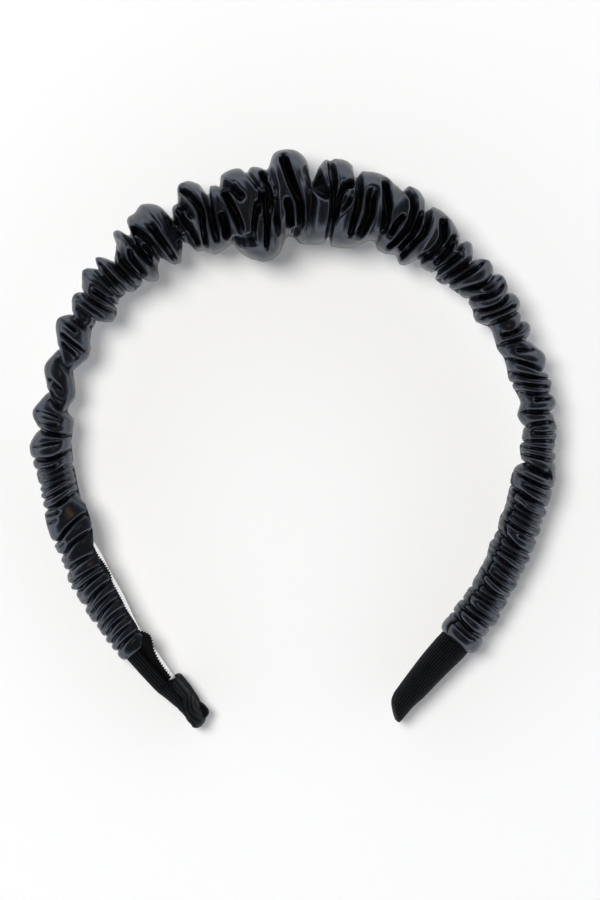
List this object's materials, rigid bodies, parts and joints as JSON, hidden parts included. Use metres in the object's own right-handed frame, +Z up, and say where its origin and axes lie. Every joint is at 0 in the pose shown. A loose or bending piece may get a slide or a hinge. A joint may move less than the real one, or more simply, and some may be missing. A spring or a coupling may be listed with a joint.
{
  "type": "ruched headband",
  "caption": "Rigid arched headband in a gathered black leathercloth sleeve, full at the crown, with a pale inside lining and ribbed ribbon-wrapped tips.",
  "frame": {"origin": "centre of the arch's box, at the surface the headband lies on", "axes": "+Z up from the surface, along the wearer's front-to-back; +Y from the tips to the crown; +X to the right tip seen from above"},
  "size_m": [0.1463, 0.1603, 0.0263],
  "materials": {
    "band": "black ribbon-covered band",
    "lining": "pale woven strip",
    "sleeve": "soft satin black leathercloth",
    "ribbon_left": "matte ribbed black ribbon",
    "ribbon_right": "matte ribbed black ribbon"
  },
  "bodies": {
    "root": {"band": "band", "lining": "lining", "ruched_sleeve": "sleeve", "end_wrap_left": "ribbon_left", "end_wrap_right": "ribbon_right"}
  },
  "joints": []
}
